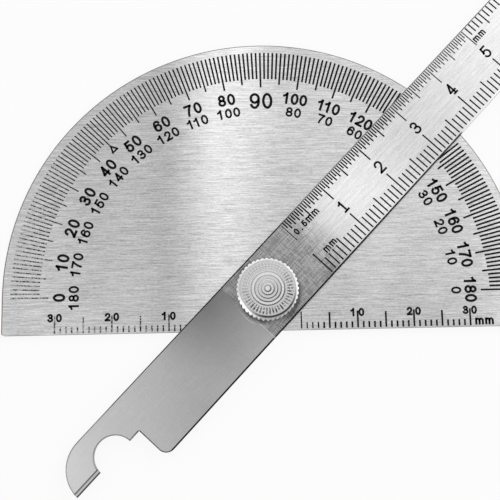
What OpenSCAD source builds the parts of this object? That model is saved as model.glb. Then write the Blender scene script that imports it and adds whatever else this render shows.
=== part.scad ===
// Half-round steel protractor with a swinging ruler arm that a knurled nut locks.
// Millimetres. The origin is on the pivot axis, in the back face that lies on the bench.
// +X runs along the straight base, +Y towards the 90-degree line, +Z out of the scale side.

/* [Dial plate] */
// Outer radius of the half-round dial
dial_r = 46.5; // [42:0.5:60]
// Depth of the straight base below the pivot centre
base_drop = 6.5; // [6:0.25:12]
// Thickness of the dial sheet
dial_t = 1; // [0.8:0.1:2]
// Rounding of the two base corners
dial_corner_r = 0.5; // [0.2:0.1:2]

/* [Degree scale] */
// Gap between the rim and the outer ends of the degree lines
degree_rim_gap = 1.5; // [0.5:0.1:3]
// Length of a one-degree line
degree_len_1 = 5.1; // [3:0.1:6]
// Length of a five-degree line
degree_len_5 = 6.1; // [3:0.1:7]
// Length of a ten-degree line
degree_len_10 = 6.7; // [3:0.1:9]

/* [Base scale] */
// Distance from the pivot to the zero line of the right base scale
base_zero_right = 6.1; // [5:0.1:10]
// Distance from the pivot to the zero line of the left base scale
base_zero_left = 7.2; // [5:0.1:10]
// Length of each base scale
base_scale_len = 30; // [10:5:30]
// Length of a one-millimetre base line
base_len_1 = 1.3; // [0.8:0.1:2]
// Length of a five-millimetre base line
base_len_5 = 3; // [1:0.1:3.5]
// Length of a ten-millimetre base line
base_len_10 = 3.2; // [1.5:0.1:4.5]

/* [Ruler arm] */
// Width of the arm
arm_w = 13; // [12:0.1:20]
// Thickness of the arm sheet
arm_t = 1; // [0.8:0.1:2]
// Reach of the reading end from the pivot
arm_reach = 145; // [80:5:200]
// Resting angle of the arm, counted from +X
arm_angle = 46.2; // [0:0.1:180]
// Rounding of the corners at the reading end
arm_end_r = 1; // [0.3:0.1:4]

/* [Arm scale] */
// Distance from the pivot to the zero line of the arm
arm_zero = 10.7; // [9:0.1:20]
// Plain sheet left past the last centimetre line
arm_scale_margin = 3; // [1:0.5:8]
// Stretch of the left edge that is divided into half millimetres
half_mm_stretch = 50; // [10:10:60]
// Length of a half-millimetre line on the left edge
left_len_half = 1.5; // [0.8:0.1:2]
// Length of a one-millimetre line on the left edge
left_len_1 = 2.1; // [1:0.1:3]
// Length of a five-millimetre line on the left edge
left_len_5 = 3; // [1.5:0.1:4]
// Length of a ten-millimetre line on the left edge
left_len_10 = 4; // [2:0.1:4.5]
// Gap between the right edge and its lines
right_gap = 0.45; // [0.1:0.05:0.6]
// Length of a one-millimetre line on the right edge
right_len_1 = 2.7; // [1:0.1:3]
// Length of a five-millimetre line on the right edge
right_len_5 = 3.5; // [1.5:0.1:4]
// Length of a ten-millimetre line on the right edge
right_len_10 = 4.7; // [2:0.1:5]

/* [Sheet edges] */
// Width of the broken edge around the scale side of both sheets
edge_break = 0.2; // [0.05:0.01:0.3]

/* [Scale lines] */
// Width of a line on the dial
dial_line_w = 0.3; // [0.1:0.02:0.4]
// Width of a line on the arm
arm_line_w = 0.24; // [0.1:0.02:0.3]
// Depth of the etched lines
line_depth = 0.05; // [0.03:0.01:0.1]

/* [Hook tail] */
// Reach of the hook end from the pivot
tail_reach = 47.5; // [44:0.5:70]
// Radius of the half-round notch
notch_r = 3.6; // [2.5:0.05:4.5]
// Width of the hook tip between the outer end and the notch
tip_w = 5.6; // [4:0.05:6.5]
// Width of the tooth between the notch and the shoulder
tooth_w = 2.3; // [1:0.05:4]
// Rounding of the shoulder's lower corner
shoulder_r = 1.8; // [0.5:0.1:4]
// Width of the ground land along the tip
tip_land_w = 0.7; // [0.3:0.05:1.5]
// Drop of the ground land at its edge
tip_land_drop = 0.35; // [0.1:0.05:0.6]

/* [Pivot stud] */
// Diameter of the plain journal that the arm turns on
journal_d = 5; // [4.6:0.1:6]
// Outer diameter of the screw thread
thread_d = 4; // [3:0.1:4.4]
// Diameter of the flush head
head_d = 7; // [6.4:0.1:9]
// Thickness of the flush head
head_t = 0.5; // [0.3:0.05:0.6]

/* [Washers] */
// Outer diameter of the friction washer between dial and arm
friction_d = 9.6; // [7:0.1:11]
// Thickness of the friction washer
friction_t = 0.25; // [0.15:0.05:0.6]
// Outer diameter of the thrust washer under the nut
thrust_d = 9; // [6.5:0.1:9.5]
// Thickness of the thrust washer
thrust_t = 0.4; // [0.2:0.05:0.8]

/* [Lock nut] */
// Diameter over the knurl
nut_d = 10.7; // [9.8:0.1:13]
// Height of the nut
nut_h = 5; // [4:0.05:7]
// Thickness of the knurled head
nut_head_t = 2.4; // [1.6:0.1:3]
// Diameter of the plain collar under the head
nut_collar_d = 8.4; // [6.5:0.1:8.8]
// Thickness of the closed end
nut_cap_t = 1; // [0.7:0.05:1.5]
// Number of knurl teeth
knurl_teeth = 40; // [24:1:48]
// Depth of the knurl
knurl_depth = 0.25; // [0.15:0.05:0.4]
// Width of the bevel around the turned face
face_bevel = 0.5; // [0.3:0.05:0.8]
// Radius of the innermost turned ring
ring_r = 1.1; // [0.8:0.05:2]
// Step from one turned ring to the next
ring_step = 0.6; // [0.4:0.05:0.7]
// Number of turned rings
ring_count = 4; // [1:1:4]

/* [Fits] */
// Radial running clearance of arm, washers and nut
running_gap = 0.05; // [0.02:0.01:0.1]
// Radial clearance of the stud in the dial
stud_gap = 0.01; // [0.01:0.01:0.03]

/* [Hidden] */
$fn = 96;

// Overshoot of cutters past the faces they open
over = 1;

// The stack on the stud, from the bench upwards
z_arm = dial_t + friction_t;
z_thrust = z_arm + arm_t;
z_nut = z_thrust + thrust_t;

// The journal stops below the arm's face, so that the nut can clamp the arm
clamp_gap = 0.1;
z_journal_top = z_thrust - clamp_gap;

// The screw stops short of the blind end of the nut
thread_end_gap = 0.2;
bore_depth = nut_h - nut_cap_t;
z_thread_top = z_nut + bore_depth - thread_end_gap;
thread_lead_in = 0.4;

// Places along the tail, counted from the pivot
tip_round_x = tail_reach - arm_w / 2;
notch_x = tail_reach - tip_w - notch_r;
shoulder_x = notch_x - notch_r - tooth_w;

// Whole centimetres that fit on the arm
arm_scale_len = 10 * floor((arm_reach - arm_zero - arm_scale_margin) / 10);
half_mm_len = min(half_mm_stretch, arm_scale_len);

// Forms of the nut that follow its own sizes
nut_r = nut_d / 2;
nut_head_z = nut_h - nut_head_t;
nut_foot_bevel = 0.25;
knurl_crest = 0.3;
ring_w = 0.32;
ring_depth = 0.1;
centre_mark_r = 0.45;
centre_mark_depth = 0.22;

// Line length for a count of scale steps: every tenth is longest, every fifth longer
function line_len(step, one, five, ten) = step % 10 == 0 ? ten : step % 5 == 0 ? five : one;

// Point at a radius and angle
function polar(r, a) = [r * cos(a), r * sin(a)];

// One etched line, running from the origin along +X, sunk in a face at z = 0
module etched_line(len, w) {
    translate([0, -w / 2, -line_depth])
        cube([len, w, line_depth + over]);
}

// Waste outside a rounded corner whose sheet fills +X and +Y
module corner_waste(r) {
    difference() {
        translate([-over, -over]) square(r + over);
        translate([r, r]) circle(r = r);
    }
}

// Half round standing on its straight base
module dial_outline() {
    difference() {
        union() {
            circle(r = dial_r);
            translate([-dial_r, -base_drop]) square([2 * dial_r, base_drop]);
        }
        translate([-dial_r - over, -base_drop - dial_r])
            square([2 * (dial_r + over), dial_r]);
        for (side = [0, 1])
            mirror([side, 0]) translate([-dial_r, -base_drop]) corner_waste(dial_corner_r);
    }
}

// Section of the waste above a broken edge of a sheet, at the edge's distance from an axis
module edge_waste_section(r, t) {
    polygon([
        [r - edge_break, t],
        [r + over, t - edge_break - over],
        [r + over, t + over],
        [r - edge_break, t + over],
    ]);
}

// Waste above the dial's broken edge, around the half round and down both short sides
module dial_edge_waste() {
    rotate_extrude(angle = 180) edge_waste_section(dial_r, dial_t);
    for (side = [0, 1])
        mirror([side, 0, 0]) rotate([90, 0, 0])
            linear_extrude(base_drop + over) edge_waste_section(dial_r, dial_t);
}

module degree_lines() {
    r_out = dial_r - degree_rim_gap;
    for (deg = [0 : 180]) {
        len = line_len(deg, degree_len_1, degree_len_5, degree_len_10);
        rotate([0, 0, deg]) translate([r_out - len, 0, dial_t]) etched_line(len, dial_line_w);
    }
}

module base_lines() {
    for (mm = [0 : base_scale_len], x = [base_zero_right + mm, -base_zero_left - mm]) {
        len = line_len(mm, base_len_1, base_len_5, base_len_10);
        translate([x, -base_drop, dial_t])
            rotate([0, 0, 90]) translate([-over, 0, 0]) etched_line(len + over, dial_line_w);
    }
}

module dial_plate() {
    color("lightsteelblue")
    difference() {
        linear_extrude(dial_t) dial_outline();
        translate([0, 0, -over]) cylinder(r = journal_d / 2 + stud_gap, h = dial_t + 2 * over);
        translate([0, 0, -over]) cylinder(r = head_d / 2 + stud_gap, h = head_t + over);
        dial_edge_waste();
        degree_lines();
        base_lines();
    }
}

module pivot_stud() {
    color("gray")
    rotate_extrude()
        polygon([
            [0, 0],
            [head_d / 2, 0],
            [head_d / 2, head_t],
            [journal_d / 2, head_t],
            [journal_d / 2, z_journal_top],
            [thread_d / 2, z_journal_top],
            [thread_d / 2, z_thread_top - thread_lead_in],
            [thread_d / 2 - thread_lead_in, z_thread_top],
            [0, z_thread_top],
        ]);
}

// Flat ring standing on a given height
module washer(d, bore_d, t, z) {
    translate([0, 0, z])
    difference() {
        cylinder(d = d, h = t);
        translate([0, 0, -over]) cylinder(r = bore_d / 2 + running_gap, h = t + 2 * over);
    }
}

module friction_washer() {
    color("peru") washer(friction_d, journal_d, friction_t, dial_t);
}

module thrust_washer() {
    color("darkgray") washer(thrust_d, thread_d, thrust_t, z_thrust);
}

// Arm outline along +X: blade, shoulder, and the half-width tail with its quarter-round tip
module arm_outline() {
    difference() {
        union() {
            translate([-shoulder_x, -arm_w / 2]) square([shoulder_x + arm_reach, arm_w]);
            translate([-tip_round_x, 0]) square([tip_round_x, arm_w / 2]);
            intersection() {
                translate([-tip_round_x, 0]) circle(r = arm_w / 2);
                translate([-tail_reach, 0]) square([tail_reach, arm_w / 2]);
            }
        }
        translate([-notch_x, 0]) circle(r = notch_r);
        translate([-shoulder_x, -arm_w / 2]) corner_waste(shoulder_r);
        for (side = [0, 1])
            mirror([0, side]) translate([arm_reach, -arm_w / 2]) mirror([1, 0]) corner_waste(arm_end_r);
    }
}

// Waste above a broken edge that runs along +X at a distance r from the origin
module straight_edge_waste(r, len) {
    rotate([90, 0, 90]) linear_extrude(len) edge_waste_section(r, arm_t);
}

// Waste above a broken edge that goes round a corner of radius r at the origin and on along +X
module arm_edge_waste(r, len) {
    straight_edge_waste(r, len);
    rotate([0, 0, 90]) rotate_extrude(angle = 90) edge_waste_section(r, arm_t);
}

// Waste above the broken edges of the hook: round the notch, under the tooth and up the shoulder
module hook_edge_waste() {
    translate([-notch_x, 0, arm_t - edge_break])
        cylinder(r1 = notch_r, r2 = notch_r + edge_break + over, h = edge_break + over);
    mirror([0, 1, 0]) translate([-shoulder_x - tooth_w, 0, 0]) straight_edge_waste(0, tooth_w);
    translate([-shoulder_x, 0, 0]) rotate([0, 0, 90]) mirror([1, 0, 0])
        straight_edge_waste(0, arm_w / 2 - shoulder_r);
}

// Waste above the ground land of the hook tip
module tip_land_waste() {
    translate([-tail_reach - over, 0, arm_t])
        rotate([90, 0, 90])
            linear_extrude(tail_reach + over - notch_x)
                polygon([
                    [tip_land_w, 0],
                    [tip_land_w, over],
                    [-over, over],
                    [-over, -tip_land_drop * (1 + over / tip_land_w)],
                ]);
}

// Lines start past the left edge and run inwards
module left_line(x, len) {
    translate([arm_zero + x, arm_w / 2 + over, arm_t])
        rotate([0, 0, -90]) etched_line(len + over, arm_line_w);
}

module left_lines() {
    for (half = [0 : 2 * half_mm_len])
        left_line(half / 2, half % 2 == 1 ? left_len_half
            : line_len(half / 2, left_len_1, left_len_5, left_len_10));
    for (mm = [half_mm_len + 1 : 1 : arm_scale_len])
        left_line(mm, line_len(mm, left_len_1, left_len_5, left_len_10));
}

module right_lines() {
    for (mm = [0 : arm_scale_len])
        translate([arm_zero + mm, -arm_w / 2 + right_gap, arm_t])
            rotate([0, 0, 90])
                etched_line(line_len(mm, right_len_1, right_len_5, right_len_10), arm_line_w);
}

module ruler_arm() {
    color("silver")
    rotate([0, 0, arm_angle]) translate([0, 0, z_arm])
    difference() {
        linear_extrude(arm_t) arm_outline();
        translate([0, 0, -over]) cylinder(r = journal_d / 2 + running_gap, h = arm_t + 2 * over);
        translate([-tip_round_x, 0, 0])
            arm_edge_waste(arm_w / 2, tip_round_x + arm_reach + over);
        translate([shoulder_r - shoulder_x, shoulder_r - arm_w / 2, 0]) mirror([0, 1, 0])
            arm_edge_waste(shoulder_r, shoulder_x - shoulder_r + arm_reach + over);
        hook_edge_waste();
        tip_land_waste();
        left_lines();
        right_lines();
    }
}

// Straight knurl: flat crests with a sharp valley after each
function knurl_outline() = let (
    pitch = 360 / knurl_teeth,
    half_crest = knurl_crest / nut_r * 90 / PI
) [
    for (i = [0 : knurl_teeth - 1], point = [
        polar(nut_r, i * pitch - half_crest),
        polar(nut_r, i * pitch + half_crest),
        polar(nut_r - knurl_depth, (i + 0.5) * pitch),
    ]) point
];

// Turned blank of the nut: a plain collar, and a head bevelled underneath and around its face
module nut_blank() {
    rotate_extrude()
        polygon([
            [0, 0],
            [nut_collar_d / 2 - nut_foot_bevel, 0],
            [nut_collar_d / 2, nut_foot_bevel],
            [nut_collar_d / 2, nut_head_z],
            [nut_r - knurl_depth - nut_foot_bevel, nut_head_z],
            [nut_r + knurl_depth, nut_head_z + 2 * knurl_depth + nut_foot_bevel],
            [nut_r + knurl_depth, nut_h - face_bevel - knurl_depth],
            [nut_r - face_bevel, nut_h],
            [0, nut_h],
        ]);
}

// Turned rings and the centre mark in the closed face
module face_rings() {
    for (i = [0 : ring_count - 1]) {
        r = ring_r + i * ring_step;
        rotate_extrude()
            polygon([
                [r - ring_w, nut_h + ring_depth],
                [r, nut_h - ring_depth],
                [r + ring_w, nut_h + ring_depth],
            ]);
    }
    translate([0, 0, nut_h - centre_mark_depth])
        cylinder(r1 = 0, r2 = 2 * centre_mark_r, h = 2 * centre_mark_depth);
}

module lock_nut() {
    color("gainsboro")
    translate([0, 0, z_nut])
    difference() {
        intersection() {
            nut_blank();
            linear_extrude(nut_h) polygon(knurl_outline());
        }
        translate([0, 0, -over]) cylinder(r = thread_d / 2 + running_gap, h = bore_depth + over);
        face_rings();
    }
}

dial_plate();
pivot_stud();
friction_washer();
ruler_arm();
thrust_washer();
lock_nut();
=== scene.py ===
from math import cos, pi, radians, sin

import bpy
from mathutils import Euler, Matrix, Vector


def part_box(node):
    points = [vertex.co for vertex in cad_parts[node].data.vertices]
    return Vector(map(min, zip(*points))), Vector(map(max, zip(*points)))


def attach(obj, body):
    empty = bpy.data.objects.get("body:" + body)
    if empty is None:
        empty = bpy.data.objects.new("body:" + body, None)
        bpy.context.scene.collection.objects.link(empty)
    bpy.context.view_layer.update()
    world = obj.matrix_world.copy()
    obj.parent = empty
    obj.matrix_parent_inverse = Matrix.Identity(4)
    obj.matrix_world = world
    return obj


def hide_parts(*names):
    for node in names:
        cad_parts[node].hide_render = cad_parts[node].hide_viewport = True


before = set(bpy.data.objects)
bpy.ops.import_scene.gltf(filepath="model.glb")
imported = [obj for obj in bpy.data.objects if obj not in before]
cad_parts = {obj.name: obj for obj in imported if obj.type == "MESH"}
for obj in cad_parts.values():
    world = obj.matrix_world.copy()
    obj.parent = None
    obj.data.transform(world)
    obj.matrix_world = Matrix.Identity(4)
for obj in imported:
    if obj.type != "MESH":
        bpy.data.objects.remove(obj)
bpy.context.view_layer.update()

# Dial plate: half-round stainless sheet, blanked in one stroke and lying on its flat back.
# The face is brushed along the straight base. The sheared edge is duller than the face, and painted
# shade darkens the broken edge between them.
mm = 0.001
dial_low, dial_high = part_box("dial_plate")
dial_radius = dial_high.x
dial_face = dial_high.z
base_edge = -dial_low.y


def new_material(name):
    """A material, its node tree and its shader."""
    material = bpy.data.materials.new(name)
    material.use_nodes = True
    return material, material.node_tree, material.node_tree.nodes["Principled BSDF"]


def add_node(tree, kind, inputs=(), **settings):
    """A node whose inputs are plain values, or outputs of other nodes that it is joined to."""
    made = tree.nodes.new(kind)
    for name, value in settings.items():
        setattr(made, name, value)
    for name, value in dict(inputs).items():
        if isinstance(value, bpy.types.NodeSocket):
            tree.links.new(value, made.inputs[name])
        else:
            made.inputs[name].default_value = value
    return made


def arithmetic(tree, operation, first, second):
    """One step of arithmetic between two node outputs or numbers."""
    return add_node(tree, "ShaderNodeMath", {0: first, 1: second}, operation=operation).outputs[0]


def remap(tree, value, from_low, from_high, to_low, to_high):
    """A value carried from one range to another and held at its ends."""
    limits = {"From Min": from_low, "From Max": from_high, "To Min": to_low, "To Max": to_high}
    return add_node(tree, "ShaderNodeMapRange", {"Value": value, **limits}).outputs[0]


def blend_colours(tree, factor, first, second):
    """The first colour at 0 and the second at 1."""
    mixed = add_node(tree, "ShaderNodeMix", {0: factor, 6: first, 7: second}, data_type="RGBA")
    return mixed.outputs[2]


def blend_numbers(tree, factor, first, second):
    """The first number at 0 and the second at 1."""
    mixed = add_node(tree, "ShaderNodeMix", {0: factor, 2: first, 3: second}, data_type="FLOAT")
    return mixed.outputs[0]


def streaks(tree, turn, length, width, detail=2):
    """Noise drawn out along the direction of brushing, from 0 to 1."""
    place = add_node(tree, "ShaderNodeTexCoord").outputs["Object"]
    along = add_node(
        tree,
        "ShaderNodeMapping",
        {"Vector": place, "Rotation": (0, 0, turn), "Scale": (length, width, width)},
        vector_type="TEXTURE",
    ).outputs[0]
    noise = add_node(tree, "ShaderNodeTexNoise", {"Vector": along, "Scale": 1.0, "Detail": detail})
    return noise.outputs[0]


def facing_up(tree):
    """How far a face points up: 1 on top, 0 on a wall and -1 underneath."""
    normal = add_node(tree, "ShaderNodeNewGeometry").outputs["True Normal"]
    return add_node(tree, "ShaderNodeSeparateXYZ", {0: normal}).outputs[2]


def brushed_sheet(name, brush_turn, dark_line, light_line, wear_grain=None, wear_and_shade_tone=None):
    """Brushed stainless sheet. Its broken edges and sheared walls are darker, partly as duller sheared
    steel and partly as painted shade. The two functions, where given, change its grain by wear and then its
    tone by wear and painted light from place to place."""
    material, tree, shader = new_material(name)
    hair = streaks(tree, brush_turn, 2.6 * mm, 0.14 * mm)
    scratch = streaks(tree, brush_turn, 9 * mm, 0.26 * mm)
    speck = streaks(tree, brush_turn, 0.6 * mm, 0.25 * mm)
    grain = arithmetic(tree, "MULTIPLY", hair, 0.45)
    grain = arithmetic(tree, "ADD", grain, arithmetic(tree, "MULTIPLY", scratch, 0.3))
    grain = arithmetic(tree, "ADD", grain, arithmetic(tree, "MULTIPLY", speck, 0.25))
    if wear_grain:
        grain = wear_grain(tree, grain)
    tone = blend_colours(tree, remap(tree, grain, 0.32, 0.68, 0, 1), dark_line, light_line)
    upright = arithmetic(tree, "ABSOLUTE", facing_up(tree), 0)
    off_face = remap(tree, upright, 0.74, 0.82, 1, 0)
    sheared = remap(tree, upright, 0.3, 0.5, 1, 0)
    # Painted shade on the broken edges, over the duller tone of the sheared walls.
    edge_tone_and_shade = blend_colours(tree, sheared, (0.16, 0.16, 0.163, 1), (0.24, 0.24, 0.245, 1))
    tone = blend_colours(tree, off_face, tone, edge_tone_and_shade)
    if wear_and_shade_tone:
        tone = wear_and_shade_tone(tree, tone)
    tree.links.new(tone, shader.inputs["Base Color"])
    rub = remap(tree, grain, 0.25, 0.75, 0.165, 0.19)
    rough = blend_numbers(tree, off_face, rub, 0.42)
    tree.links.new(rough, shader.inputs["Roughness"])
    bump = add_node(tree, "ShaderNodeBump", {"Height": grain, "Strength": 0.2, "Distance": 0.004 * mm})
    tree.links.new(bump.outputs[0], shader.inputs["Normal"])
    across = add_node(
        tree,
        "ShaderNodeVectorTransform",
        {0: (-sin(brush_turn), cos(brush_turn), 0)},
        vector_type="VECTOR",
        convert_from="OBJECT",
        convert_to="WORLD",
    )
    tree.links.new(across.outputs[0], shader.inputs["Tangent"])
    shader.inputs["Metallic"].default_value = 1.0
    shader.inputs["Anisotropic"].default_value = 1.0
    return material


def dress(node, material):
    """Gives a CAD node its finish."""
    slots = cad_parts[node].data.materials
    slots.clear()
    slots.append(material)


dial_finish = brushed_sheet("dial_brushed_steel", 0.0, (0.40, 0.40, 0.405, 1), (0.96, 0.96, 0.965, 1))
dress("dial_plate", dial_finish)

# Degree scale: 181 etched lines round the rim, filled with baked black enamel that stands a hair proud.
# Every fifth line is longer, and every tenth longer still. The fill is thin and worn at the left end.
dial_line_width = 0.34 * mm
thinnest_line = 0.19 * mm
fill_proud = 0.006 * mm
fill_depth = 0.05 * mm
degree_rim_gap = 1.5 * mm
degree_lengths = {"Fine length": 5.1 * mm, "Middle length": 6.1 * mm, "Long length": 6.7 * mm}


def enamel(name, worn_until=None):
    """Black baked enamel, a little uneven in tone and gloss. Where a place along the base is given,
    the fill left of it is chipped, and more so towards the left end."""
    material, tree, shader = new_material(name)
    place = add_node(tree, "ShaderNodeTexCoord").outputs["Object"]
    mottle = add_node(tree, "ShaderNodeTexNoise", {"Vector": place, "Scale": 1 / (0.5 * mm), "Detail": 3})
    tone = blend_colours(tree, mottle.outputs[0], (0.003, 0.003, 0.0035, 1), (0.010, 0.010, 0.0105, 1))
    if worn_until:
        sideways = add_node(tree, "ShaderNodeSeparateXYZ", {0: place}).outputs[0]
        wear = remap(tree, sideways, -dial_radius, worn_until, 0.6, 0.2)
        chip_sizes = {"Vector": place, "Scale": 1 / (0.3 * mm), "Detail": 1}
        chips = add_node(tree, "ShaderNodeTexNoise", chip_sizes)
        lost = arithmetic(tree, "ADD", chips.outputs[0], wear)
        tone = blend_colours(tree, remap(tree, lost, 0.92, 1.08, 0, 1), tone, (0.4, 0.4, 0.405, 1))
    tree.links.new(tone, shader.inputs["Base Color"])
    tree.links.new(remap(tree, mottle.outputs[0], 0.3, 0.7, 0.42, 0.6), shader.inputs["Roughness"])
    shader.inputs["Specular IOR Level"].default_value = 0.1
    return material


black_enamel = enamel("black_enamel")
degree_fill = enamel("degree_line_enamel", -30 * mm)


def graduation_tree():
    """Lines laid at equal steps along a straight edge or at equal turns round an arc, each reaching
    inwards from the edge. Every so many lines one is longer."""
    tree = bpy.data.node_groups.new("graduation_lines", "GeometryNodeTree")
    tree.interface.new_socket("Geometry", in_out="INPUT", socket_type="NodeSocketGeometry")
    for name in ("Lines", "Short every", "Middle every", "Long every"):
        tree.interface.new_socket(name, in_out="INPUT", socket_type="NodeSocketInt")
    for name in ("First turn", "Turn per line", "First step", "Step per line", "Edge distance",
                 "First width", "Full width", "Full after", "Fill depth",
                 "Fine length", "Short length", "Middle length", "Long length"):
        tree.interface.new_socket(name, in_out="INPUT", socket_type="NodeSocketFloat")
    tree.interface.new_socket("Fill", in_out="INPUT", socket_type="NodeSocketMaterial")
    tree.interface.new_socket("Geometry", in_out="OUTPUT", socket_type="NodeSocketGeometry")
    given = tree.nodes.new("NodeGroupInput").outputs
    number = tree.nodes.new("GeometryNodeInputIndex").outputs[0]

    def count_on(first, gain):
        return arithmetic(tree, "ADD", given[first], arithmetic(tree, "MULTIPLY", number, given[gain]))

    turn = count_on("First turn", "Turn per line")
    step = count_on("First step", "Step per line")
    swell = arithmetic(tree, "MINIMUM", arithmetic(tree, "DIVIDE", number, given["Full after"]), 1)
    swell = arithmetic(tree, "MULTIPLY", arithmetic(tree, "POWER", swell, 4),
                       arithmetic(tree, "SUBTRACT", given["Full width"], given["First width"]))
    width = arithmetic(tree, "ADD", given["First width"], swell)
    side = arithmetic(tree, "MULTIPLY", arithmetic(tree, "SINE", turn, 0), given["Edge distance"])
    place = add_node(tree, "ShaderNodeCombineXYZ", {
        0: arithmetic(tree, "SUBTRACT", step, side),
        1: arithmetic(tree, "MULTIPLY", arithmetic(tree, "COSINE", turn, 0), given["Edge distance"]),
    })
    length = given["Fine length"]
    for every, longer in (("Short every", "Short length"), ("Middle every", "Middle length"),
                          ("Long every", "Long length")):
        rest = arithmetic(tree, "MODULO", number, given[every])
        chosen = add_node(tree, "GeometryNodeSwitch", {
            "Switch": arithmetic(tree, "LESS_THAN", rest, 0.5), "False": length, "True": given[longer],
        }, input_type="FLOAT")
        length = chosen.outputs[0]
    points = add_node(tree, "GeometryNodePoints", {"Count": given["Lines"], "Position": place.outputs[0]})
    bar = add_node(tree, "GeometryNodeMeshCube", {"Size": (1, 1, 1)})
    hung = add_node(tree, "GeometryNodeTransform", {
        "Geometry": bar.outputs[0], "Translation": (0, -0.5, -0.5),
    })
    laid = add_node(tree, "GeometryNodeInstanceOnPoints", {
        "Points": points.outputs[0],
        "Instance": hung.outputs[0],
        "Rotation": add_node(tree, "ShaderNodeCombineXYZ", {2: turn}).outputs[0],
        "Scale": add_node(tree, "ShaderNodeCombineXYZ", {
            0: width, 1: length, 2: given["Fill depth"],
        }).outputs[0],
    })
    real = add_node(tree, "GeometryNodeRealizeInstances", {0: laid.outputs[0]})
    filled = add_node(tree, "GeometryNodeSetMaterial", {
        "Geometry": real.outputs[0], "Material": given["Fill"],
    })
    tree.links.new(filled.outputs[0], tree.nodes.new("NodeGroupOutput").inputs[0])
    return tree


graduation_lines = graduation_tree()


def add_object(name, data):
    """An object in the scene, at the origin and unturned."""
    made = bpy.data.objects.new(name, data)
    bpy.context.scene.collection.objects.link(made)
    return made


def grow(name, tree, data, sizes):
    """A plain mesh object of what a tree makes from some data and sizes."""
    source = add_object(name + "_source", data)
    modifier = source.modifiers.new(tree.name, "NODES")
    modifier.node_group = tree
    for socket in tree.interface.items_tree:
        if socket.in_out == "INPUT" and socket.name in sizes:
            modifier[socket.identifier] = sizes[socket.name]
    evaluated = source.evaluated_get(bpy.context.evaluated_depsgraph_get())
    mesh = bpy.data.meshes.new_from_object(evaluated)
    bpy.data.objects.remove(source)
    mesh.name = name
    return add_object(name, mesh)


def etched_lines(name, sizes, line_width, place):
    """One scale's enamel-filled lines, moved to their place on the sheet. Sizes that aren't given stand
    for a straight scale whose lines are equally wide, with no length between fine and middle."""
    given = {
        "Short every": 1,
        "First turn": 0.0,
        "Turn per line": 0.0,
        "First step": 0.0,
        "Step per line": 0.0,
        "First width": line_width,
        "Full width": line_width,
        "Full after": 1.0,
        "Fill depth": fill_depth,
        "Fill": black_enamel,
        "Short length": sizes["Fine length"],
        **sizes,
    }
    made = grow(name, graduation_lines, bpy.data.meshes.new(name), given)
    made.data.transform(place)
    return made


on_the_dial = Matrix.Translation((0, 0, dial_face + fill_proud))
degree_lines = etched_lines(
    "degree_lines",
    {
        "Lines": 181,
        "Middle every": 5,
        "Long every": 10,
        "First turn": pi / 2,
        "Turn per line": -pi / 180,
        "Edge distance": dial_radius - degree_rim_gap,
        "First width": thinnest_line,
        "Full after": 80.0,
        "Fill": degree_fill,
        **degree_lengths,
    },
    dial_line_width,
    on_the_dial,
)
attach(degree_lines, "dial")

# Degree numerals: two rows of sans figures, printed in the same enamel and standing a hair proud.
# The outer row counts from the left, the inner one from the right, and 90 is larger and alone.
outer_row_radius = 36.46 * mm
inner_row_radius = 33.9 * mm
ninety_radius = 35.7 * mm
outer_height = 2.22 * mm
inner_height = 1.85 * mm
ninety_height = 3.05 * mm
print_proud = 0.015 * mm


def bow(cx, cy, rx, ry, start, end, steps=16):
    """Points along part of an oval, turned from start to end in degrees."""
    turns = [radians(start + (end - start) * i / steps) for i in range(steps + 1)]
    return [(cx + rx * cos(t), cy + ry * sin(t)) for t in turns]


def bend(start, pull, end, steps=8):
    """Points of a curve from start to end, drawn towards pull."""
    shares = [i / steps for i in range(steps + 1)]
    return [tuple((1 - t) ** 2 * a + 2 * t * (1 - t) * b + t * t * c for a, b, c in zip(start, pull, end))
            for t in shares]


six = [bow(0.5, 0.31, 0.5, 0.31, 0, 360, 24), bow(0.53, 0.5, 0.53, 0.5, 38, 188)]
plain_figures = {
    "0": [bow(0.5, 0.5, 0.5, 0.5, 0, 360, 28)],
    "1": [[(0.5, 0), (0.5, 1)], bend((0.46, 0.97), (0.30, 0.80), (-0.02, 0.74))],
    "2": [bow(0.5, 0.71, 0.46, 0.29, 172, -25) + bend((0.917, 0.587), (0.78, 0.40), (0.05, 0.04)),
          [(0, 0), (1, 0)]],
    "3": [bow(0.47, 0.755, 0.42, 0.245, 162, -85), [(0.34, 0.52), (0.5, 0.52)],
          bow(0.47, 0.265, 0.5, 0.265, 85, -162)],
    "4": [[(0.70, 0.98), (0.02, 0.30)], [(0, 0.27), (1, 0.27)], [(0.74, 0), (0.74, 1)]],
    "5": [[(0.2, 1), (0.92, 1)], [(0.2, 0.98), (0.08, 0.5)], bow(0.46, 0.325, 0.51, 0.325, 146, -160)],
    "6": six,
    "7": [[(0, 1), (1, 1)], bend((0.98, 0.96), (0.46, 0.5), (0.34, 0))],
    "8": [bow(0.5, 0.75, 0.42, 0.25, 0, 360, 24), bow(0.5, 0.26, 0.5, 0.26, 0, 360, 24)],
    "9": [[(1 - x, 1 - y) for x, y in stroke] for stroke in six],
}


def set_text(text, figures, height, weight, width=0.66, pitch=0.78, slim=0.83):
    """The strokes of a line of figures, centred on the origin. Weight is the stroke's share of the
    height, width a figure's, pitch the step to the next figure, and slim the share of it for a 1."""
    steps = [pitch * slim if figure == "1" else pitch for figure in text]
    strokes = []
    for position, figure in enumerate(text):
        middle = sum(steps[:position]) + steps[position] / 2 - sum(steps) / 2
        for stroke in figures[figure]:
            strokes.append([
                (height * (middle + (x - 0.5) * (width - weight)), height * (y - 0.5) * (1 - weight))
                for x, y in stroke
            ])
    return strokes


def set_at(strokes, x, y, turn=0.0):
    """Strokes turned and moved to their place."""
    return [[(x + a * cos(turn) - b * sin(turn), y + a * sin(turn) + b * cos(turn)) for a, b in stroke]
            for stroke in strokes]


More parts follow.
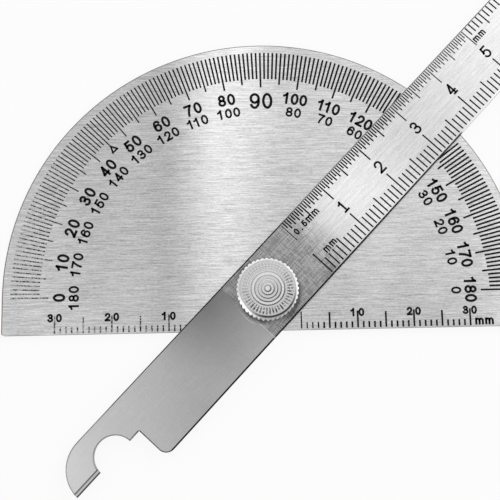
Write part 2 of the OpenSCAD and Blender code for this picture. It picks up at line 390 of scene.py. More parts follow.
def round_the_dial(strokes, radius, degrees):
    """Strokes set upright on a radius, counted in degrees from the left end of the base."""
    turn = radians(180 - degrees)
    return set_at(strokes, radius * cos(turn), radius * sin(turn), turn - pi / 2)


def stroke_tree():
    """A flat bar of print swept along each stroke of the figures."""
    tree = bpy.data.node_groups.new("printed_strokes", "GeometryNodeTree")
    tree.interface.new_socket("Strokes", in_out="INPUT", socket_type="NodeSocketGeometry")
    for name in ("Stroke width", "Print thickness"):
        tree.interface.new_socket(name, in_out="INPUT", socket_type="NodeSocketFloat")
    tree.interface.new_socket("Print", in_out="INPUT", socket_type="NodeSocketMaterial")
    tree.interface.new_socket("Geometry", in_out="OUTPUT", socket_type="NodeSocketGeometry")
    given = tree.nodes.new("NodeGroupInput").outputs
    section = add_node(tree, "GeometryNodeCurvePrimitiveQuadrilateral", {
        "Width": given["Stroke width"], "Height": given["Print thickness"],
    })
    swept = add_node(tree, "GeometryNodeCurveToMesh", {
        "Curve": given["Strokes"], "Profile Curve": section.outputs[0], "Fill Caps": True,
    })
    real = add_node(tree, "GeometryNodeRealizeInstances", {0: swept.outputs[0]})
    inked = add_node(tree, "GeometryNodeSetMaterial", {
        "Geometry": real.outputs[0], "Material": given["Print"],
    })
    tree.links.new(inked.outputs[0], tree.nodes.new("NodeGroupOutput").inputs[0])
    return tree


printed_strokes = stroke_tree()


def run_on(stroke, distance):
    """An open stroke made longer at both ends, so that its square ends reach the figure's edge."""
    def beyond(end, before):
        step = (Vector(end) - Vector(before)).normalized()
        return tuple(Vector(end) + step * distance)
    return [beyond(stroke[0], stroke[1]), *stroke[1:-1], beyond(stroke[-1], stroke[-2])]


def printed(name, strokes, stroke_width, height):
    """Print on a sheet whose face is at that height. A stroke that ends where it starts is a ring."""
    curve = bpy.data.curves.new(name, "CURVE")
    curve.dimensions = "3D"
    curve.twist_mode = "Z_UP"
    for stroke in strokes:
        ring = (Vector(stroke[0]) - Vector(stroke[-1])).length < 1e-9
        points = stroke[:-1] if ring else run_on(stroke, stroke_width / 2)
        spline = curve.splines.new("POLY")
        spline.use_cyclic_u = ring
        spline.points.add(len(points) - 1)
        for point, (x, y) in zip(spline.points, points):
            point.co = (x, y, height, 1)
    sizes = {"Stroke width": stroke_width, "Print thickness": 2 * print_proud, "Print": black_enamel}
    return grow(name, printed_strokes, curve, sizes)


outer_weight = 0.2
inner_weight = 0.2
ninety_weight = 0.16
outer_strokes = []
inner_strokes = []
for degrees in range(0, 181, 10):
    if degrees == 90:
        continue
    outer_pitch = 0.78 if degrees < 100 else 0.72
    outer = set_text(str(degrees), plain_figures, outer_height, outer_weight, pitch=outer_pitch)
    inner = set_text(str(180 - degrees), plain_figures, inner_height, inner_weight, width=0.7, pitch=0.83)
    outer_strokes += round_the_dial(outer, outer_row_radius, degrees)
    inner_strokes += round_the_dial(inner, inner_row_radius, degrees)
outer_row = printed("outer_numerals", outer_strokes, outer_weight * outer_height, dial_face)
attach(outer_row, "dial")
inner_row = printed("inner_numerals", inner_strokes, inner_weight * inner_height, dial_face)
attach(inner_row, "dial")
ninety_text = set_text("90", plain_figures, ninety_height, ninety_weight, width=0.63, pitch=0.75)
ninety_strokes = round_the_dial(ninety_text, ninety_radius, 90)
ninety = printed("numeral_90", ninety_strokes, ninety_weight * ninety_height, dial_face)
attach(ninety, "dial")

# Half-right-angle marks: a small hollow triangle that points at the 45-degree line on each side.
# Both are printed in the numerals' enamel, just inside the degree lines.
mark_apex = 38.8 * mm
mark_foot = 37.7 * mm
mark_half_width = 0.56 * mm
mark_line = 0.32 * mm
triangle = [(0, mark_apex), (mark_half_width, mark_foot), (-mark_half_width, mark_foot), (0, mark_apex)]
triangle_sides = [triangle[corner:corner + 2] for corner in range(3)]
marks = set_at(triangle_sides, 0, 0, pi / 4) + set_at(triangle_sides, 0, 0, -pi / 4)
half_right_angles = printed("half_right_angle_marks", marks, mark_line, dial_face)
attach(half_right_angles, "dial")

# Base scales: millimetres along the straight edge, counted outwards from beside the pivot.
# They are etched and filled like the degree scale, and the fill is worn towards the left.
# Each ten-millimetre line rises between the two figures of its number.
base_zeros = {1: 6.1 * mm, -1: 7.2 * mm}
broken_edge = 0.2 * mm
base_lengths = {
    "Fine length": 1.3 * mm - broken_edge,
    "Middle length": 3.0 * mm - broken_edge,
    "Long length": 3.2 * mm - broken_edge,
}
base_widths = {1: (0.22 * mm, 0.33 * mm), -1: (0.25 * mm, 0.25 * mm)}
full_base_lines = {1: 4.0, -1: 1.0}
base_fill = enamel("base_line_enamel", 10 * mm)
for name, side in (("base_lines_right", 1), ("base_lines_left", -1)):
    lines = etched_lines(
        name,
        {
            "Lines": 31,
            "Middle every": 5,
            "Long every": 10,
            "First turn": pi,
            "First step": side * base_zeros[side],
            "Step per line": side * mm,
            "Edge distance": base_edge - broken_edge,
            "First width": base_widths[side][0],
            "Full width": base_widths[side][1],
            "Full after": full_base_lines[side],
            "Fill": base_fill,
            **base_lengths,
        },
        dial_line_width,
        on_the_dial,
    )
    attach(lines, "dial")

base_figure_height = 1.5 * mm
base_figure_middle = 3.58 * mm
base_weight = 0.24
base_pitch = 1.0
base_strokes = []
for tens in (1, 2, 3):
    number = set_text(f"{tens}0", plain_figures, base_figure_height, base_weight, 0.7, base_pitch, slim=0.9)
    for side, zero in base_zeros.items():
        base_strokes += set_at(number, side * (zero + tens * 10 * mm), -base_figure_middle)
base_numerals = printed("base_numerals", base_strokes, base_weight * base_figure_height, dial_face)
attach(base_numerals, "dial")

unit_letters = {
    "m": [[(0, 0), (0, 1)], bow(0.25, 0.62, 0.25, 0.38, 180, 0, 10) + [(0.5, 0)],
          bow(0.75, 0.62, 0.25, 0.38, 180, 0, 10) + [(1, 0)]],
    ".": [[(0.5, 0), (0.5, 0.01)]],
    "0": plain_figures["0"],
    "5": plain_figures["5"],
}
base_unit_height = 1.25 * mm
base_unit_weight = 0.31
base_unit_past_zero = 32.5 * mm
base_unit_middle = 5.62 * mm
base_unit_text = set_text("mm", unit_letters, base_unit_height, base_unit_weight, width=1.25, pitch=1.42)
base_unit_strokes = set_at(base_unit_text, base_zeros[1] + base_unit_past_zero, -base_unit_middle)
base_unit = printed("base_unit", base_unit_strokes, base_unit_weight * base_unit_height, dial_face)
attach(base_unit, "dial")

# Pivot stud: turned from steel bar, its flat head let in flush with the back of the dial and clinched.
# The arm turns on its journal and the nut runs on its screw, whose thread shows when the nut is raised.
_, stud_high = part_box("pivot_stud")
head_height = 0.5 * mm
journal_radius = 2.5 * mm
journal_top = 2.15 * mm
screw_radius = 2 * mm
screw_top = stud_high.z
screw_pitch = 0.7 * mm
thread_depth = 0.4 * mm
lead_in = 0.4 * mm
run_out_rows = 6
flank_steepness = 1.4
smooth_below = radians(25)


def from_the_axis(tree, place):
    """Distance from the pivot axis."""
    flat = add_node(tree, "ShaderNodeVectorMath", {0: place, 1: (1, 1, 0)}, operation="MULTIPLY").outputs[0]
    return add_node(tree, "ShaderNodeVectorMath", {0: flat}, operation="LENGTH").outputs["Value"]


def turned_steel(name, dark_ring, light_ring, roughness, ring_pitch, ring_strength):
    """Steel with the fine rings that a lathe leaves round the pivot axis."""
    material, tree, shader = new_material(name)
    place = add_node(tree, "ShaderNodeTexCoord").outputs["Object"]
    radius = from_the_axis(tree, place)
    height = add_node(tree, "ShaderNodeSeparateXYZ", {0: place}).outputs[2]
    path = add_node(tree, "ShaderNodeCombineXYZ", {
        0: arithmetic(tree, "DIVIDE", radius, ring_pitch),
        1: arithmetic(tree, "DIVIDE", height, 8 * ring_pitch),
    }).outputs[0]
    rings = add_node(tree, "ShaderNodeTexNoise", {"Vector": path, "Scale": 1.0, "Detail": 2}).outputs[0]
    tone = blend_colours(tree, remap(tree, rings, 0.35, 0.65, 0, 1), dark_ring, light_ring)
    tree.links.new(tone, shader.inputs["Base Color"])
    rough = remap(tree, rings, 0.3, 0.7, roughness + 0.04, roughness - 0.04)
    tree.links.new(rough, shader.inputs["Roughness"])
    bump = add_node(tree, "ShaderNodeBump", {
        "Height": rings, "Strength": ring_strength, "Distance": 0.02 * mm,
    })
    tree.links.new(bump.outputs[0], shader.inputs["Normal"])
    shader.inputs["Metallic"].default_value = 1.0
    return material


stud_finish = turned_steel(
    "stud_turned_steel", (0.42, 0.42, 0.43, 1), (0.58, 0.58, 0.59, 1), 0.3, 0.12 * mm, 0.3
)


def turned_stud(name, columns=64, screw_rows=74):
    """The stud's head and journal as plain turned steps, and above them a screw with a right-hand thread
    that runs out at the journal and has a chamfer at its end. Each row has a height, an outer radius and
    the thread's depth there."""
    rows = [(0, stud_high.x, 0), (head_height, stud_high.x, 0), (head_height, journal_radius, 0),
            (journal_top, journal_radius, 0), (journal_top, screw_radius, 0)]
    for row in range(1, screw_rows + 1):
        height = journal_top + (screw_top - journal_top) * row / screw_rows
        chamfer = max(0, height - screw_top + lead_in)
        rows.append((height, screw_radius - chamfer, thread_depth * min(1, row / run_out_rows)))
    corners = []
    for height, outside, cut in rows:
        for column in range(columns):
            share = (height / screw_pitch - column / columns) % 1
            groove = min(max(flank_steepness * (abs(2 * share - 1) - 0.5) + 0.5, 0), 1)
            radius = min(outside, screw_radius - cut * groove) if cut else outside
            turn = 2 * pi * column / columns
            corners.append((radius * cos(turn), radius * sin(turn), height))
    faces = [tuple(reversed(range(columns))), tuple(range(len(corners) - columns, len(corners)))]
    for low in range(0, len(corners) - columns, columns):
        for column in range(columns):
            beside = (column + 1) % columns
            faces.append((low + column, low + beside, low + columns + beside, low + columns + column))
    mesh = bpy.data.meshes.new(name)
    mesh.from_pydata(corners, [], faces)
    mesh.shade_smooth()
    mesh.set_sharp_from_angle(angle=smooth_below)
    mesh.materials.append(stud_finish)
    return add_object(name, mesh)


stud = turned_stud("threaded_stud")
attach(stud, "dial")
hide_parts("pivot_stud")

# Friction washer: a thin ring stamped from rolled brass, loose on the stud between dial and arm.
# It keeps the arm off the etched scale and lets it turn evenly.


def rolled_sheet(name, dark, light, roughness):
    """Plain rolled metal with the slight cloud of the mill."""
    material, tree, shader = new_material(name)
    cloud = streaks(tree, 0.0, 2.5 * mm, 0.5 * mm, 4)
    tree.links.new(blend_colours(tree, cloud, dark, light), shader.inputs["Base Color"])
    rough = remap(tree, cloud, 0.3, 0.7, roughness - 0.06, roughness + 0.06)
    tree.links.new(rough, shader.inputs["Roughness"])
    shader.inputs["Metallic"].default_value = 1.0
    return material


rolled_brass = rolled_sheet("washer_rolled_brass", (0.55, 0.38, 0.16, 1), (0.80, 0.60, 0.30, 1), 0.34)
dress("friction_washer", rolled_brass)

# Ruler arm: one stainless strip that swings on the stud, with a hooked tail behind it.
# It is brushed along its length ahead of the nut, and satin behind. Painted shade darkens the satin
# tail, the blade and a ring round the nut, the left edge beside the nut and the right one up to the
# dial's rim, past which it has a painted highlight. The hook's broken edges have a painted highlight.
arm_turn = radians(46.2)
_, arm_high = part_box("ruler_arm")
arm_face = arm_high.z
arm_half_width = 6.5 * mm
satin_until = -4.8 * mm
satin_border = 0.2 * mm
scuffed_and_shaded_until = 15 * mm
foot_shadow_radius = 5.95 * mm
shadow_fade_radius = 6.2 * mm
clear_of_dial = 46 * mm
edge_line = 0.24 * mm
hook_from = -32 * mm
tip_from = -40 * mm
tip_land = 0.7 * mm


def arm_place(tree):
    """Distance along the arm from the pivot and across it from its middle."""
    place = add_node(tree, "ShaderNodeTexCoord").outputs["Object"]
    turned = add_node(
        tree, "ShaderNodeMapping", {"Vector": place, "Rotation": (0, 0, arm_turn)}, vector_type="TEXTURE"
    ).outputs[0]
    return add_node(tree, "ShaderNodeSeparateXYZ", {0: turned}).outputs[:2]


def arm_grain(tree, grain):
    """The blade is scuffed both ways beside the nut, and the satin tail has next to no grain."""
    along, _ = arm_place(tree)
    scuffs_and_shade = remap(tree, along, scuffed_and_shaded_until - 4 * mm, scuffed_and_shaded_until + 1 * mm, 1, 0)
    for turn, length in ((arm_turn, 3.2 * mm), (arm_turn + pi / 2, 1.5 * mm)):
        scuff = arithmetic(tree, "SUBTRACT", streaks(tree, turn, length, 0.2 * mm), 0.5)
        scuff = arithmetic(tree, "MULTIPLY", scuff, 1.8)
        grain = arithmetic(tree, "ADD", grain, arithmetic(tree, "MULTIPLY", scuff, scuffs_and_shade))
    strength = remap(tree, along, satin_until - satin_border, satin_until + satin_border, 0.06, 1)
    swing = arithmetic(tree, "MULTIPLY", arithmetic(tree, "SUBTRACT", grain, 0.5), strength)
    return arithmetic(tree, "ADD", swing, 0.5)


def face_wear(tree, along, across):
    """How dark the face is: painted shade on the satin tail, most of all on one side beside the nut,
    painted shade on the blade ahead of the nut, and a painted shadow round the nut with a darker foot
    inside it."""
    # Painted shade on the satin tail, deeper on one side towards the nut.
    tail_shade_drift = remap(tree, along, -22 * mm, -9 * mm, -0.012 / mm, 0.042 / mm)
    satin = remap(tree, along, -46 * mm, -26 * mm, 0.24, 0.295)
    satin = arithmetic(tree, "ADD", satin, arithmetic(tree, "MULTIPLY", across, tail_shade_drift))
    ahead = remap(tree, along, satin_until - satin_border, satin_until + satin_border, 0, 1)
    satin = arithmetic(tree, "MULTIPLY", satin, arithmetic(tree, "SUBTRACT", 1, ahead))
    # Painted shade on the scuffed blade ahead of the nut.
    scuffs_and_shade = remap(tree, along, scuffed_and_shaded_until - 4 * mm, scuffed_and_shaded_until + 1.5 * mm, 0.33, 0)
    scuffs_and_shade = arithmetic(tree, "MULTIPLY", scuffs_and_shade, ahead)
    squared = arithmetic(tree, "POWER", along, 2)
    squared = arithmetic(tree, "ADD", squared, arithmetic(tree, "POWER", across, 2))
    reach = arithmetic(tree, "SQRT", squared, 0)
    # Painted shadow round the nut's foot, kept off the side towards the tail.
    ring = arithmetic(tree, "MAXIMUM", remap(tree, reach, foot_shadow_radius, foot_shadow_radius + 0.3 * mm, 0.72, 0),
                      remap(tree, reach, shadow_fade_radius, shadow_fade_radius + 0.6 * mm, 0.5, 0))
    ring = arithmetic(tree, "MULTIPLY", ring, remap(tree, along, -4 * mm, 0, 0, 1))
    return arithmetic(tree, "MAXIMUM", arithmetic(tree, "ADD", satin, scuffs_and_shade), ring)


def left_edge_grime(tree, along, across):
    """The painted shadow along the left edge: darkest beside the nut, less on the tail, and soon gone along
    the scale.
    """
    edge = remap(tree, across, arm_half_width - 0.3 * mm, arm_half_width - 0.22 * mm, 0, 1)
    edge_shadow = arithmetic(tree, "MINIMUM", remap(tree, along, -26 * mm, -9 * mm, 0.3, 0.9),
                       remap(tree, along, 10 * mm, 14 * mm, 0.9, 0))
    return arithmetic(tree, "MULTIPLY", edge_shadow, edge)


def tip_lines(tree, along, across):
    """Two lines of painted shade along the ground land at the hook's tip, at its crease and at its edge."""
    inner_line = arithmetic(tree, "ABSOLUTE", arithmetic(tree, "SUBTRACT", across, tip_land), 0)
    inner_line = remap(tree, inner_line, 0.09 * mm, 0.17 * mm, 0.72, 0)
    outer_line = remap(tree, across, 0.18 * mm, 0.26 * mm, 0.9, 0)
    lines = arithmetic(tree, "MAXIMUM", inner_line, outer_line)
    return arithmetic(tree, "MULTIPLY", lines, arithmetic(tree, "LESS_THAN", along, tip_from))


def arm_tone(tree, tone):
    """The arm's tone from place to place: a painted highlight on the hook's broken edges, painted shade
    on the face, painted shadow along the edges and a painted highlight on the right one past the dial, a
    light seam where the satin starts, and lines of painted shade on the tip."""
    along, across = arm_place(tree)
    black = (0, 0, 0, 1)
    upright = facing_up(tree)
    on_top = arithmetic(tree, "GREATER_THAN", upright, 0)
    slanted = arithmetic(tree, "MULTIPLY", on_top, arithmetic(tree, "LESS_THAN", upright, 0.8))
    # Painted highlight on the slanted broken edges of the hook.
    hook_edge_highlight = arithmetic(tree, "MULTIPLY", slanted, remap(tree, along, hook_from - 3 * mm, hook_from, 0.45, 0))
    tone = blend_colours(tree, hook_edge_highlight, tone, (0.9, 0.9, 0.905, 1))
    from_right = arithmetic(tree, "ADD", across, arm_half_width)
    right_edge = remap(tree, from_right, edge_line, edge_line + 0.08 * mm, 1, 0)
    right_edge = arithmetic(tree, "MULTIPLY", right_edge, on_top)
    clear = remap(tree, along, clear_of_dial - 0.3 * mm, clear_of_dial + 0.3 * mm, 0, 1)
    # Painted shadow along the right edge while it lies over the dial, darkest nearest the nut.
    edge_shadow = remap(tree, along, 20 * mm, clear_of_dial, 0.96, 0.75)
    edge_shadow = arithmetic(tree, "MULTIPLY", edge_shadow, arithmetic(tree, "SUBTRACT", 1, clear))
    edge_shadow = arithmetic(tree, "MULTIPLY", edge_shadow, right_edge)
    left_shadow = arithmetic(tree, "MULTIPLY", left_edge_grime(tree, along, across), on_top)
    edge_shadow = arithmetic(tree, "MAXIMUM", edge_shadow, left_shadow)
    darker = arithmetic(tree, "MAXIMUM", face_wear(tree, along, across), edge_shadow)
    tone = blend_colours(tree, darker, tone, black)
    # Painted highlight on the right edge where it has passed the dial's rim.
    bright = arithmetic(tree, "MULTIPLY", clear, right_edge)
    tone = blend_colours(tree, bright, tone, (0.95, 0.95, 0.955, 1))
    seam = arithmetic(tree, "ABSOLUTE", arithmetic(tree, "SUBTRACT", along, satin_until), 0)
    seam = arithmetic(tree, "MULTIPLY", remap(tree, seam, 0.06 * mm, 0.2 * mm, 0.4, 0),
                      remap(tree, across, -1 * mm, 0, 1, 0))
    tone = blend_colours(tree, arithmetic(tree, "MULTIPLY", seam, on_top), tone, (1, 1, 1, 1))
    # Painted shade along the tip's land.
    lines = arithmetic(tree, "MULTIPLY", tip_lines(tree, along, across), on_top)
    return blend_colours(tree, lines, tone, black)


arm_finish = brushed_sheet(
    "arm_brushed_steel", arm_turn, (0.54, 0.54, 0.545, 1), (0.86, 0.86, 0.865, 1), arm_grain, arm_tone
)
dress("ruler_arm", arm_finish)

# Arm scales: half millimetres to 50 and then millimetres on one edge, millimetres on the other.
# They are etched and filled like the degree scale, and start beside the nut. The half-millimetre lines
# thin out towards 50, and the zero line is as thin.
arm_zero = 10.7 * mm
arm_scale = 130
arm_line_width = 0.28 * mm
arm_thinnest_line = 0.12 * mm
half_millimetres = 50
right_edge_gap = 0.45 * mm
on_the_arm = Matrix.Rotation(arm_turn, 4, "Z") @ Matrix.Translation((0, 0, arm_face + fill_proud))
left_lengths = {
    "Fine length": 1.5 * mm - broken_edge,
    "Short length": 2.1 * mm - broken_edge,
    "Middle length": 3.0 * mm - broken_edge,
    "Long length": 4.0 * mm - broken_edge,
}
right_lengths = {"Fine length": 2.7 * mm, "Middle length": 3.5 * mm, "Long length": 4.7 * mm}
arm_scales = {
    "arm_half_millimetre_lines": {
        "Lines": 2 * half_millimetres,
        "Short every": 2,
        "Middle every": 10,
        "Long every": 20,
        "First step": arm_zero + half_millimetres * mm,
        "Step per line": -0.5 * mm,
        "Edge distance": arm_half_width - broken_edge,
        "First width": arm_thinnest_line,
        "Full after": 45.0,
        **left_lengths,
    },
    "arm_zero_line": {
        "Lines": 1,
        "Middle every": 5,
        "Long every": 10,
        "First step": arm_zero,
        "Edge distance": arm_half_width - 2 * broken_edge,
        "First width": arm_thinnest_line,
        "Full width": arm_thinnest_line,
        **left_lengths,
    },
    "arm_left_millimetre_lines": {
        "Lines": arm_scale - half_millimetres,
        "Middle every": 5,
        "Long every": 10,
        "First step": arm_zero + arm_scale * mm,
        "Step per line": -mm,
        "Edge distance": arm_half_width - broken_edge,
        **left_lengths,
    },
    "arm_right_millimetre_lines": {
        "Lines": arm_scale + 1,
        "Middle every": 5,
        "Long every": 10,
        "First turn": pi,
        "First step": arm_zero,
        "Step per line": mm,
        "Edge distance": arm_half_width - right_edge_gap,
        **right_lengths,
    },
}
for name, sizes in arm_scales.items():
    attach(etched_lines(name, sizes, arm_line_width, on_the_arm), "arm")

# Arm figures: centimetres in an engraver's lining figures with slab feet, and small unit marks.
# They are printed in black enamel: the figures along the middle, and the marks where each scale starts.
arm_figures = {
    **plain_figures,
    "1": [[(0.5, 0), (0.5, 1)], bend((0.48, 0.97), (0.36, 0.84), (0.14, 0.82)), [(0.14, 0), (0.86, 0)]],
    "4": [[(0.66, 0.97), (0.02, 0.32)], [(0, 0.28), (1, 0.28)], [(0.7, 0), (0.7, 1)],
          [(0.42, 0), (0.98, 0)]],
}
arm_figure_height = 2.4 * mm
arm_figure_weight = 0.155
arm_figure_past_line = 0.15 * mm
arm_figure_middle = 0.42 * mm
arm_figure_strokes = []
for centimetre in range(1, arm_scale // 10 + 1):
    figure = set_text(str(centimetre), arm_figures, arm_figure_height, arm_figure_weight)
    along = arm_zero + centimetre * 10 * mm + arm_figure_past_line
    arm_figure_strokes += set_at(figure, along, arm_figure_middle)
arm_figure_strokes = set_at(arm_figure_strokes, 0, 0, arm_turn)
arm_numerals = printed("arm_numerals", arm_figure_strokes, arm_figure_weight * arm_figure_height, arm_face)
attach(arm_numerals, "arm")

unit_weight = 0.25
unit_height = 1.1 * mm
unit_places = ((5.2 * mm, 3.36 * mm), (3.25 * mm, -2.64 * mm), (51.7 * mm, 3.3 * mm))
half_height = 1.3 * mm
half_place = (2.1 * mm, 3.44 * mm)
half = set_text("0.5", unit_letters, half_height, unit_weight, pitch=0.78)
arm_unit_strokes = set_at(half, arm_zero + half_place[0], half_place[1])
unit = set_text("mm", unit_letters, unit_height, unit_weight, width=1.15, pitch=1.38)
for along, across in unit_places:
    arm_unit_strokes += set_at(unit, arm_zero + along, across)
arm_unit_strokes = set_at(arm_unit_strokes, 0, 0, arm_turn)
arm_units = printed("arm_unit_marks", arm_unit_strokes, unit_weight * unit_height, arm_face)
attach(arm_units, "arm")

# Thrust washer: a plain ring stamped from rolled steel, on the stud's screw between arm and nut.
# It turns with the nut, so that the nut doesn't drag the arm round.
rolled_steel = rolled_sheet("washer_plain_steel", (0.46, 0.46, 0.47, 1), (0.62, 0.62, 0.63, 1), 0.36)
dress("thrust_washer", rolled_steel)

# Lock nut: turned from bar, with a straight knurl for the fingers and a bright-plated face.
# The face has turned rings, and a band of short radial tool marks outside them. Painted shade darkens the
# grooves, marks and rim on one side and the knurl's valleys, and the broken edge has a painted highlight.
ring_radius = 1.1 * mm
ring_step = 0.6 * mm
ringed_until = 3.2 * mm
marked_until = 4.6 * mm
tool_marks = 46
# The side that faces the dark flag, where the nut's painted shade is strongest.
dark_reflection_turn = radians(-68)
shoulder_radius = 4.85 * mm
valley_radius = 5.1 * mm
tooth_radius = 5.35 * mm
nut_finish = turned_steel(
    "nut_plated_steel", (0.58, 0.58, 0.585, 1), (0.99, 0.99, 0.995, 1), 0.27, 0.15 * mm, 0.2
)


def turned_rings(tree, radius, dark_reflection_side):
    """Painted shade in the grooves between the rings of the face, darkest on the side that faces the dark
    flag.
    """
    step = arithmetic(tree, "DIVIDE", arithmetic(tree, "SUBTRACT", radius, ring_radius), ring_step)
    wave = arithmetic(tree, "COSINE", arithmetic(tree, "MULTIPLY", step, 2 * pi), 0)
    grooves = arithmetic(tree, "MULTIPLY", remap(tree, wave, -0.1, 0.75, 0, 0.92),
                         remap(tree, radius, ringed_until, ringed_until + 0.1 * mm, 1, 0))
    return arithmetic(tree, "MULTIPLY", grooves, remap(tree, dark_reflection_side, -0.6, 0.8, 0.5, 1))


def radial_marks(tree, place, radius, turn, dark_reflection_side):
    """The broken dashes that the tool left outside the rings, with painted shade making them strongest
    towards the side that faces the dark flag.
    """
    blotch = add_node(tree, "ShaderNodeTexNoise", {"Vector": place, "Scale": 1 / (0.45 * mm), "Detail": 2})
    patchy = add_node(tree, "ShaderNodeTexNoise", {"Vector": place, "Scale": 1 / (1.3 * mm), "Detail": 2})
    dashes = arithmetic(tree, "COSINE", arithmetic(tree, "MULTIPLY", turn, tool_marks), 0)
    dashes = remap(tree, dashes, -0.5, 0.5, 0, 1)
    dashes = arithmetic(tree, "MULTIPLY", dashes, remap(tree, blotch.outputs[0], 0.34, 0.46, 0, 1))
    dashes = arithmetic(tree, "MULTIPLY", dashes, remap(tree, patchy.outputs[0], 0.38, 0.5, 0.6, 1))
    dashes = arithmetic(tree, "MULTIPLY", dashes, remap(tree, dark_reflection_side, -0.5, 0.3, 0.2, 1))
    band = arithmetic(tree, "MINIMUM", remap(tree, radius, ringed_until, ringed_until + 0.3 * mm, 0, 1),
                      remap(tree, radius, marked_until - 0.3 * mm, marked_until, 1, 0))
    return arithmetic(tree, "MULTIPLY", band, dashes)


def shoulder_line(tree, radius, dark_reflection_side):
    """A line of painted shade round the face's rim, strong on the side that faces the dark flag only."""
    line = arithmetic(tree, "ABSOLUTE", arithmetic(tree, "SUBTRACT", radius, shoulder_radius), 0)
    line = remap(tree, line, 0.1 * mm, 0.24 * mm, 1, 0)
    return arithmetic(tree, "MULTIPLY", line, remap(tree, dark_reflection_side, 0.3, 0.85, 0.15, 0.98))


def wear_the_nut(material):
    """Puts the nut's tool marks over its plating, with painted shade in the ring grooves, on the rim and in
    the knurl's valleys, and a painted highlight on the broken edge.
    """
    tree = material.node_tree
    shader = tree.nodes["Principled BSDF"]
    plated = shader.inputs["Base Color"].links[0].from_socket
    place = add_node(tree, "ShaderNodeTexCoord").outputs["Object"]
    radius = from_the_axis(tree, place)
    side_x, side_y, _ = add_node(tree, "ShaderNodeSeparateXYZ", {0: place}).outputs
    turn = arithmetic(tree, "ARCTAN2", side_y, side_x)
    # How far each place faces the dark flag's side, which sets where the painted shade is strongest.
    dark_reflection_side = arithmetic(tree, "COSINE", arithmetic(tree, "SUBTRACT", turn, dark_reflection_turn), 0)
    upright = facing_up(tree)
    on_the_face = remap(tree, upright, 0.3, 0.5, 0, 1)
    on_the_wall = remap(tree, upright, 0.2, 0.4, 1, 0)
    darker = arithmetic(tree, "MAXIMUM", turned_rings(tree, radius, dark_reflection_side),
                        radial_marks(tree, place, radius, turn, dark_reflection_side))
    darker = arithmetic(tree, "MAXIMUM", darker, shoulder_line(tree, radius, dark_reflection_side))
    darker = arithmetic(tree, "MULTIPLY", darker, on_the_face)
    # Painted shade in the knurl's valleys.
    shaded_valleys = remap(tree, radius, valley_radius + 0.02 * mm, tooth_radius - 0.05 * mm, 0.45, 0)
    darker = arithmetic(tree, "MAXIMUM", darker, arithmetic(tree, "MULTIPLY", shaded_valleys, on_the_wall))
    # Painted highlight on the broken edge round the face.
    rim_highlight = arithmetic(tree, "MINIMUM", remap(tree, upright, 0.4, 0.6, 0, 1),
                          remap(tree, upright, 0.8, 0.95, 1, 0))
    plated = blend_colours(tree, rim_highlight, plated, (1, 1, 1, 1))
    marked_and_shaded = blend_colours(tree, darker, plated, (0.06, 0.06, 0.062, 1))
    tree.links.new(marked_and_shaded, shader.inputs["Base Color"])


wear_the_nut(nut_finish)
dress("lock_nut", nut_finish)

# Bench: a plain white top that the tool lies on, a hair below its back.
# It stays white in the picture and keeps the shadow, and from below it is clear.
bench_half = 1.5
bench_top = -0.02 * mm
bench_glow = 0.88


def white_bench(name):
    """Matt white that looks lit to the camera and in mirrored light, and is clear from below."""
    material, tree, _ = new_material(name)
    tree.nodes.clear()
    path = add_node(tree, "ShaderNodeLightPath").outputs
    seen = arithmetic(tree, "MAXIMUM", path["Is Glossy Ray"], path["Is Transmission Ray"])
    seen = arithmetic(tree, "MAXIMUM", path["Is Camera Ray"], seen)
    matt = add_node(tree, "ShaderNodeBsdfDiffuse", {"Color": (0.86, 0.86, 0.86, 1)})
    glow = add_node(tree, "ShaderNodeEmission", {"Color": (1, 1, 1, 1), "Strength": 1.0})
    top = add_node(tree, "ShaderNodeMixShader", {
        0: arithmetic(tree, "MULTIPLY", seen, bench_glow), 1: matt.outputs[0], 2: glow.outputs[0],
    })
    under = add_node(tree, "ShaderNodeBsdfTransparent")
    from_below = add_node(tree, "ShaderNodeNewGeometry").outputs["Backfacing"]
    sided = add_node(tree, "ShaderNodeMixShader", {0: from_below, 1: top.outputs[0], 2: under.outputs[0]})
    tree.links.new(sided.outputs[0], add_node(tree, "ShaderNodeOutputMaterial").inputs["Surface"])
    return material


bench_sides = ((-1, -1), (1, -1), (1, 1), (-1, 1))
bench_corners = [(x * bench_half, y * bench_half, bench_top) for x, y in bench_sides]
bench_mesh = bpy.data.meshes.new("bench")
bench_mesh.from_pydata(bench_corners, [], [(0, 1, 2, 3)])
bench_mesh.materials.append(white_bench("bench_white"))
bench = add_object("bench", bench_mesh)

# Studio: a white tent with grey flags at its sides, and soft strips overhead that the steel mirrors.
# One set of tones hangs over the dial's width, by the slope of the mirrored ray. The other, over the
# arm's length, fills a band along the arm. A softbox at the upper right casts the shadow.
dial_tones = {
    -0.3: 0.8, -0.16: 0.66, -0.12: 0.57, -0.075: 0.7, -0.053: 0.25, -0.016: 1.55, 0.0: 2.15, 0.04: 1.85,
    0.07: 1.05, 0.12: 0.72, 0.19: 0.4, 0.39: 1.25, 0.55: 0.9,
}
arm_tones = {
    -0.25: 0.9, -0.13: 1.5, -0.08: 0.93, 0.03: 0.7, 0.065: 0.27, 0.1: 0.42, 0.2: 0.25, 0.226: 1.02,
    0.26: 1.57, 0.29: 1.55, 0.358: 0.86, 0.4: 1.17, 0.49: 1.68, 0.6: 2.4, 0.75: 0.9,
}
arm_band_middle = 0.0625
flag_turn = radians(-68)
side_flag_turn = radians(160)
plain_white = 0.8


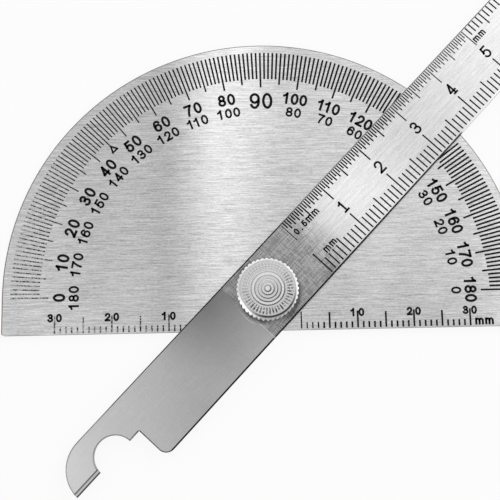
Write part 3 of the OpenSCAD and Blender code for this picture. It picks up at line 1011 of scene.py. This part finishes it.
def tone_strips(tree, value, tones):
    """Soft strips of light: the given tone at each place, and an even slope from one to the next."""
    low = min(tones)
    high = max(tones)
    brightest = max(tones.values())
    ramp = add_node(tree, "ShaderNodeValToRGB", {0: remap(tree, value, low, high, 0, 1)})
    stops = ramp.color_ramp.elements
    while len(stops) < len(tones):
        stops.new(0.5)
    for stop, (place, tone) in zip(stops, sorted(tones.items())):
        stop.position = (place - low) / (high - low)
        stop.color = (tone / brightest, tone / brightest, tone / brightest, 1)
    return arithmetic(tree, "MULTIPLY", ramp.outputs[0], brightest)


def turned(tree, first, second, turn):
    """One coordinate of a pair after it is turned."""
    return arithmetic(tree, "ADD", arithmetic(tree, "MULTIPLY", first, cos(turn)),
                      arithmetic(tree, "MULTIPLY", second, sin(turn)))


def overhead_strips(tree, east, north, height):
    """What hangs overhead: the arm's strips inside the band along it and the dial's strips outside."""
    rise = arithmetic(tree, "MAXIMUM", height, 0.05)
    slope_x = arithmetic(tree, "DIVIDE", east, rise)
    slope_y = arithmetic(tree, "DIVIDE", north, rise)
    top_fade = remap(tree, slope_y, 0.25, 0.5, 0, 0.7)
    dial_strips = blend_numbers(tree, top_fade, tone_strips(tree, slope_x, dial_tones), 0.9)
    arm_strips = tone_strips(tree, turned(tree, slope_x, slope_y, arm_turn), arm_tones)
    off_the_arm = arithmetic(tree, "SUBTRACT", turned(tree, slope_y, slope_x, -arm_turn), arm_band_middle)
    beside = add_node(tree, "ShaderNodeMapRange", {
        "Value": arithmetic(tree, "ABSOLUTE", off_the_arm, 0), "From Min": 0.05, "From Max": 0.13,
    }, interpolation_type="SMOOTHSTEP").outputs[0]
    return blend_numbers(tree, beside, arm_strips, dial_strips)


def tent_walls(tree, east, north, height):
    """The white walls, brighter low down, with a dark flag on one side and a grey one on another."""
    white = remap(tree, height, 0.12, 0.27, 1.6, 0.95)
    flag = remap(tree, turned(tree, east, north, flag_turn), 0.35, 0.8, 0, 0.97)
    flag = arithmetic(tree, "MULTIPLY", flag, remap(tree, height, 0.15, 0.27, 1, 0))
    side_flag = remap(tree, turned(tree, east, north, side_flag_turn), 0.7, 0.95, 0, 0.63)
    left_open = arithmetic(tree, "SUBTRACT", 1, arithmetic(tree, "MAXIMUM", flag, side_flag))
    return arithmetic(tree, "MULTIPLY", left_open, white)


def light_the_tent(world):
    """Sets the mirrored tent, a plain white for other light, and full white behind the tool."""
    world.use_nodes = True
    tree = world.node_tree
    sky = add_node(tree, "ShaderNodeTexCoord").outputs["Generated"]
    east, north, height = add_node(tree, "ShaderNodeSeparateXYZ", {0: sky}).outputs
    high_up = remap(tree, height, 0.35, 0.55, 0, 1)
    mirrored = blend_numbers(tree, high_up, tent_walls(tree, east, north, height),
                             overhead_strips(tree, east, north, height))
    path = add_node(tree, "ShaderNodeLightPath").outputs
    level = remap(tree, path["Is Camera Ray"], 0, 1, plain_white, 1)
    level = blend_numbers(tree, path["Is Glossy Ray"], level, mirrored)
    tree.links.new(level, tree.nodes["Background"].inputs["Strength"])
    tree.nodes["Background"].inputs["Color"].default_value = (1, 1, 1, 1)


studio = bpy.data.worlds.new("studio")
bpy.context.scene.world = studio
light_the_tent(studio)

softbox_place = (0.36, 0.34, 0.34)
key = bpy.data.lights.new("softbox", "AREA")
key.shape = "DISK"
key.size = 0.45
key.energy = 0.9
softbox = add_object("softbox", key)
softbox.location = softbox_place
softbox.rotation_euler = (-softbox.location).to_track_quat("-Z", "Y").to_euler()
softbox.visible_glossy = False

# Camera: a long lens above the dial, a little below and left of the pivot, as the picture was taken.
# Its place and turn come from fitting the tool's own scales to the picture.
lens_pixels = 1000
picture_pixels = 500
camera_place = (-8.24 * mm, -24.39 * mm, dial_face + 175.34 * mm)
camera_turn = (radians(10.478), radians(-1.571), radians(-1.346))
view = bpy.data.cameras.new("camera")
view.sensor_width = 36
view.lens = view.sensor_width * lens_pixels / picture_pixels
view.clip_start = 0.01
camera = add_object("camera", view)
camera.location = camera_place
camera.rotation_euler = Euler(camera_turn)
bpy.context.scene.camera = camera
bpy.context.scene.view_settings.view_transform = "Standard"
